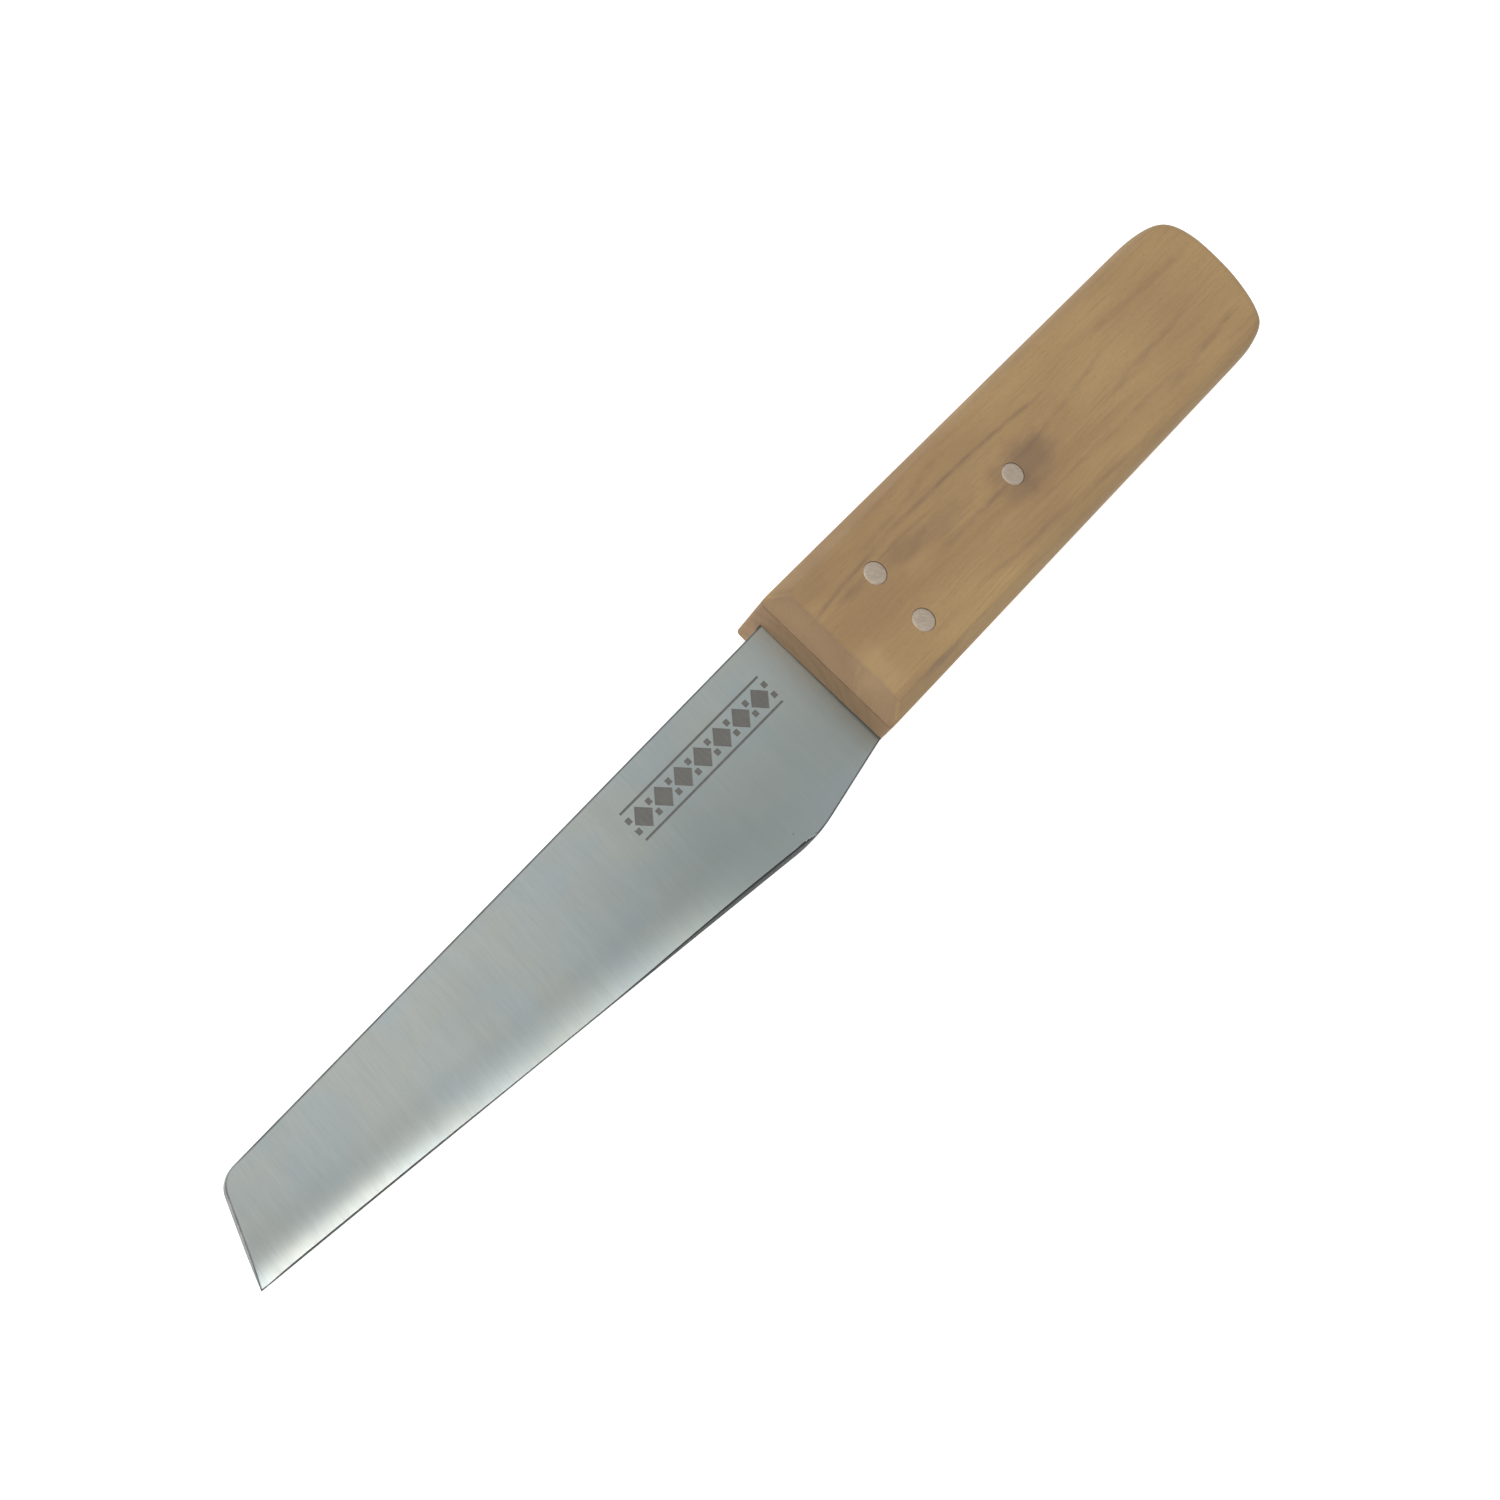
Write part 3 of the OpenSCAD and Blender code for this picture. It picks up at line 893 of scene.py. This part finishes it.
def blade_plan(marks):
    """Plan points, triangles, and for each triangle its material number."""
    pts, edges = [], []

    def loop(points, closed=True):
        first = len(pts)
        pts.extend(points)
        n = len(points)
        edges.extend((first + i, first + (i + 1) % n) for i in range(n if closed else n - 1))

    loop(OUT_P)
    # rings just inside the outline: round the easing, and up to the last bevel's crease
    shares = ((0.035, 0), (0.13, 0), (0.29, 0), (0.50, 0), (0.74, 0), (1.0, 0), (1.0, 0.07), (1.0, 0.15), (1.0, 0.25))
    for f, more in shares:
        ring = []
        for i in range(OUT_N):
            a, b, c = OUT_P[i - 1], OUT_P[i], OUT_P[(i + 1) % OUT_N]
            u, w = (b - a).normalized(), (c - b).normalized()
            nu, nw = Vector((-u.y, u.x)), Vector((-w.y, w.x))

            def width(k):
                k %= OUT_N
                d, t = edge_place(OUT_P[k])
                return (bevel_w(t) if OUT_C[k] else max(OUT_E[k], 0.10)) * f + more

            wa, wb = width(i - 1 if i == TIP_I else i), width(i + 1 if i == TIP_I else i)
            # where the two neighbouring sides, each moved in by its own width, cross
            cross = u.x * w.y - u.y * w.x
            if abs(cross) > 0.2:
                pa, pb = b + nu * wa, b + nw * wb
                s = ((pb.x - pa.x) * w.y - (pb.y - pa.y) * w.x) / cross
                ring.append(pa + u * s)
            else:
                m = nu + nw
                ring.append(b + m / max(0.3, m.length_squared / 2) * wa)
        loop(ring)
    # lines along the grind
    for f in (0.10, 0.21, 0.33, 0.46, 0.60, 0.74, 0.87, 1.0):
        row = []
        for k in range(101):
            t = 1.06 - 1.30 * k / 100
            d = bevel_w(t) + (GRIND_W - bevel_w(t)) * f
            row.append(HEEL + EDGE_DIR * (t * EDGE_LEN) + EDGE_IN * (d + hollow(t)))
        rd, e = rims(np.array(row))
        row = [p for p, r, w in zip(row, rd, e) if inside(p, OUT_P) and r > w + 0.34 and p.x > FRONT - 0.5]
        if len(row) > 1:
            loop(row, closed=False)
    holes = []
    for cx, cy, r in PINS.values():
        hole = [Vector((cx + (r + 0.03) * math.cos(2 * math.pi * k / 48), cy + (r + 0.03) * math.sin(2 * math.pi * k / 48)))
                for k in range(48)]
        holes.append(hole)
        loop(hole)
    etched = []
    if marks:
        for s in ornament():
            inner = inset_polygon(s, 0.07)
            etched.append((s, inner))
            loop(s)
            loop(inner)
    made, _, tris, _, _, _ = geometry.delaunay_2d_cdt(pts, edges, [], 0, 1e-5, True)
    keep, mats = [], []
    border = {(round(p.x, 4), round(p.y, 4)) for p in OUT_P}
    for f in tris:
        a, b, c = (made[i] for i in f)
        m = (a + b + c) / 3
        # a sliver that rounding leaves along a straight side of the outline
        if all((round(v.x, 4), round(v.y, 4)) in border for v in (a, b, c)):
            continue
        if abs((b - a).x * (c - a).y - (b - a).y * (c - a).x) < 1e-9:
            continue
        if not inside(m, OUT_P) or any(inside(m, h) for h in holes):
            continue
        if (b.x - a.x) * (c.y - a.y) - (b.y - a.y) * (c.x - a.x) < 0:
            f = tuple(reversed(f))
        mat = 0
        d, t = edge_place(m)
        if d < bevel_w(t) * 1.02 and -0.03 < t < 1.02:
            mat = 1
        if any(inside(m, s) for s, _ in etched):
            mat = 2
        keep.append(tuple(f))
        mats.append(mat)
    return made, keep, mats, holes, etched


def make_blade():
    s = Shell()
    normals = {}     # face number -> corner normals
    rim, etch, bev = [], [], []
    sides = {}
    DEPTH = 0.035
    for up in (1, -1):
        made, tris, mats, holes, etched = blade_plan(up == 1)
        used = sorted({i for f in tris for i in f})
        lows = [inset_polygon(o, 0.06) for o, _ in etched]
        plan = np.array([made[i] for i in used])
        high = half_thickness(plan)
        rd, _ = rims(plan)
        ids, low_at = {}, {}
        for i, h, r in zip(used, high, rd):
            p = made[i]
            low = p.x < FRONT + 40 and any(inside(p, o) for o in lows)
            ids[i] = s.add((p.x, p.y, MID + up * (h - DEPTH if low else h)))
            # the rim value darkens the eased rim in the steel's colour: partly unpolished steel, partly painted shade
            end = smooth(p.x, FRONT + 100.5, FRONT + 105.0)
            dark = 1.0 - smooth(r, 0.10 - 0.02 * end, 0.34 - 0.12 * end)
            rim.append(dark * (1.0 - 0.12 * end) * (1.0 if p.x > FRONT - 0.2 else 0.3))
            etch.append(1.0 if low else 0.0)
            d, t = edge_place(p)
            bev.append(clamp(d / bevel_w(t)))
        # each corner's true surface direction, taken just inside its own triangle
        tri = np.array([[made[i] for i in f] for f in tris])
        q = (tri * 0.88 + tri.mean(1, keepdims=True) * 0.12).reshape(-1, 2)
        k = 0.004
        gx = (half_thickness(q + (k, 0)) - half_thickness(q - (k, 0))) / (2 * k)
        gy = (half_thickness(q + (0, k)) - half_thickness(q - (0, k))) / (2 * k)
        vec = np.stack([-gx, -gy, np.full(len(gx), float(up))], 1)
        vec /= np.linalg.norm(vec, axis=1, keepdims=True)
        vec = vec.reshape(-1, 3, 3)
        for f, m, c in zip(tris, mats, vec):
            order = f if up == 1 else tuple(reversed(f))
            normals[len(s.faces)] = None if m == 2 else (c if up == 1 else c[::-1])
            s.face([ids[i] for i in order], m)
        key = {}
        for i in used:
            key[(round(made[i].x, 4), round(made[i].y, 4))] = ids[i]
        sides[up] = key

    def wall(points, closed_normals, mat, inward):
        n = len(points)
        for i in range(n):
            a, b = points[i], points[(i + 1) % n]
            ka, kb = (round(a.x, 4), round(a.y, 4)), (round(b.x, 4), round(b.y, 4))
            ta, tb = sides[1][ka], sides[1][kb]
            ba, bb = sides[-1][ka], sides[-1][kb]
            quad = (ba, bb, tb, ta)
            na, nb = closed_normals[i]
            cn = [na, nb, nb, na]
            if inward:
                quad, cn = tuple(reversed(quad)), list(reversed(cn))
            normals[len(s.faces)] = cn
            s.face(quad, mat(i))

    outward = []
    for i in range(OUT_N):
        a, b, c, z = OUT_P[i - 1], OUT_P[i], OUT_P[(i + 1) % OUT_N], OUT_P[(i + 2) % OUT_N]
        n0, n1, n2 = ((v.y, -v.x) for v in ((b - a).normalized(), (c - b).normalized(), (z - c).normalized()))
        n0, n1, n2 = Vector(n0), Vector(n1), Vector(n2)
        na = (n0 + n1).normalized() if n0.dot(n1) > 0.92 else n1
        nb = (n1 + n2).normalized() if n1.dot(n2) > 0.92 else n1
        outward.append((Vector((*na, 0)), Vector((*nb, 0))))
    wall(OUT_P, outward, lambda i: 1 if OUT_C[i] else 0, False)
    for (cx, cy, r), hole in zip(PINS.values(), holes):
        ns = []
        for i in range(len(hole)):
            a, b = hole[i], hole[(i + 1) % len(hole)]
            ns.append((Vector((cx - a.x, cy - a.y, 0)).normalized(), Vector((cx - b.x, cy - b.y, 0)).normalized()))
        wall(hole, ns, lambda i: 0, True)
    o = s.object("blade_steel", [FACE, BEVEL, ETCHED], None)
    me = o.data
    floats(me, "rim", rim)
    floats(me, "etch", etch)
    floats(me, "bev", bev)
    uv = me.uv_layers.new(name="UVMap")
    loops = []
    for poly in me.polygons:
        given = normals[poly.index]
        for k, li in enumerate(poly.loop_indices):
            v = me.vertices[me.loops[li].vertex_index].co
            uv.data[li].uv = (v.x / MM / 220.0 + 0.1, v.y / MM / 220.0 + 0.5)
            loops.append(poly.normal.copy() if given is None else given[k])
    me.normals_split_custom_set([tuple(n) for n in loops])
    return o


# ---------------------------------------------------------------- pins
def make_pin(name, cx, cy, r):
    """A pin through handle and tang, filed flush: slightly domed ends with a softened rim."""
    dome = [(0.0, -0.004), (0.30, -0.005), (0.62, -0.008), (0.95, -0.013), (1.22, -0.022), (1.42, -0.034),
            (1.56, -0.046), (1.66, -0.060), (r - 0.035, -0.080), (r - 0.008, -0.125)]
    prof = [(a, -b) for a, b in dome]
    prof += [(r - 0.02, TOP / 2 - HT - 0.6), (r, TOP / 2 - HT - 0.3), (r, TOP / 2 + HT + 0.3), (r - 0.02, TOP / 2 + HT + 0.6)]
    prof += [(a, TOP + b) for a, b in reversed(dome)]
    s = lathe(prof, (cx, cy), 72)
    rim = []
    for x, y, z in s.points:
        d = math.hypot(x - cx, y - cy)
        rim.append(smooth(d, r - 0.16, r - 0.03))
    o = s.object("pin_" + name, [PIN_METAL], None)
    fix_normals(o)
    floats(o.data, "rim", rim)
    o.data.set_sharp_from_angle(angle=math.radians(40))
    return o


handle = make_handle()
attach(handle, "root"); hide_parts("handle")
blade = make_blade()
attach(blade, "root"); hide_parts("blade")
for node, (cx, cy, r) in PINS.items():
    p = make_pin(node.replace("rivet_", ""), cx, cy, r)
    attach(p, "root"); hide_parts(node)


# ---------------------------------------------------------------- stage
def make_stage():
    """A pale floor that curves up into a low pale wall all round, far outside the view."""
    prof = [(0.0, 0.0), (0.6, 0.0), (1.2, 0.0)]
    for k in range(1, 15):
        a = math.radians(90 * k / 14)
        prof.append((1.2 + 0.85 * math.sin(a), 0.85 * (1 - math.cos(a))))
    s, n, rings = Shell(), 96, []
    for r, z in prof:
        if r == 0:
            rings.append([s.add((0, 0, z / MM - 0.02))])
        else:
            rings.append([s.add((r / MM * math.cos(2 * math.pi * k / n), r / MM * math.sin(2 * math.pi * k / n), z / MM - 0.02)) for k in range(n)])
    for k in range(n):
        s.face((rings[0][0], rings[1][k], rings[1][(k + 1) % n]))
    for a, b in zip(rings[1:], rings[2:]):
        for k in range(n):
            j = (k + 1) % n
            s.face((a[k], b[k], b[j], a[j]))
    g = Graph("pale_floor")
    mottle = g.noise(g.xyz(g.x * 0.004, g.y * 0.004, g.z * 0.004), 3.0)
    tone = g.mix(mottle, (0.80, 0.80, 0.80), (0.83, 0.83, 0.83))
    g.set(Base_Color=tone, Roughness=0.9, Specular_IOR_Level=0.1,
          Emission_Color=(1.0, 1.0, 1.0),
          Emission_Strength=g.step(g.math("SQRT", g.x * g.x + g.y * g.y), 420.0, 1000.0, 0.66, 0.16))
    return s.object("floor", [g.mat], 60.0)


floor = make_stage()

scene = bpy.context.scene
world = bpy.data.worlds.new("studio")
scene.world = world
world.use_nodes = True
wt = world.node_tree
bg = wt.nodes["Background"]
tc = wt.nodes.new("ShaderNodeTexCoord")
sep = wt.nodes.new("ShaderNodeSeparateXYZ")
ramp = wt.nodes.new("ShaderNodeValToRGB")
wt.links.new(tc.outputs["Generated"], sep.inputs[0])
wt.links.new(sep.outputs[2], ramp.inputs[0])
wt.links.new(ramp.outputs[0], bg.inputs["Color"])
ramp.color_ramp.elements[0].position = 0.30
ramp.color_ramp.elements[0].color = (0.46, 0.47, 0.48, 1)
ramp.color_ramp.elements[1].position = 0.75
ramp.color_ramp.elements[1].color = (0.375, 0.392, 0.392, 1)
bg.inputs["Strength"].default_value = 1.0


def area(name, at, aim, size, power, colour=(1, 1, 1), size_y=None):
    """A soft rectangular light; at and aim in metres, power in watts."""
    l = bpy.data.lights.new(name, "AREA")
    l.shape = "RECTANGLE"
    l.size, l.size_y = size, size_y or size
    l.energy, l.color = power, colour
    o = bpy.data.objects.new(name, l)
    o.location = at
    o.rotation_mode = "QUATERNION"
    o.rotation_quaternion = (Vector(aim) - Vector(at)).to_track_quat("-Z", "Y")
    scene.collection.objects.link(o)
    return o


# the panel that the ground edge mirrors, and the soft key from the spine's side
area("panel", (0.20, 0.43, 0.94), (0.10, 0.0, 0.0), 0.30, 1.64, (1.0, 1.0, 0.97), 0.28)
area("key", (0.30, -0.55, 0.95), (0.03, 0.0, 0.0), 0.75, 6.5, (1.0, 0.99, 0.975))

# ---------------------------------------------------------------- camera
LEAN, SWAY, ROLL = math.radians(29.646), math.radians(0.698), math.radians(45.678)
back = Vector((math.sin(LEAN) * math.cos(SWAY), math.sin(SWAY), math.cos(LEAN) * math.cos(SWAY)))
aim = Vector((FRONT + 14.669, 0.565, 7.5)) * MM
eye = aim + back * 0.38675
along = (Vector((-1, 0, 0)) - back * Vector((-1, 0, 0)).dot(back)).normalized()   # towards the butt
across = along.cross(-back)                                                      # towards the spine
right = along * math.cos(ROLL) - across * math.sin(ROLL)
up = along * math.sin(ROLL) + across * math.cos(ROLL)
cam_data = bpy.data.cameras.new("camera")
cam_data.sensor_width = 36.0
cam_data.lens = 69.72
cam_data.clip_start, cam_data.clip_end = 0.01, 50.0
cam = bpy.data.objects.new("camera", cam_data)
cam.matrix_world = Matrix((
    (right.x, up.x, back.x, eye.x),
    (right.y, up.y, back.y, eye.y),
    (right.z, up.z, back.z, eye.z),
    (0, 0, 0, 1),
))
scene.collection.objects.link(cam)
scene.camera = cam
scene.view_settings.view_transform = "Standard"
scene.view_settings.look = "None"
scene.view_settings.exposure = 0.0
scene.view_settings.gamma = 1.0
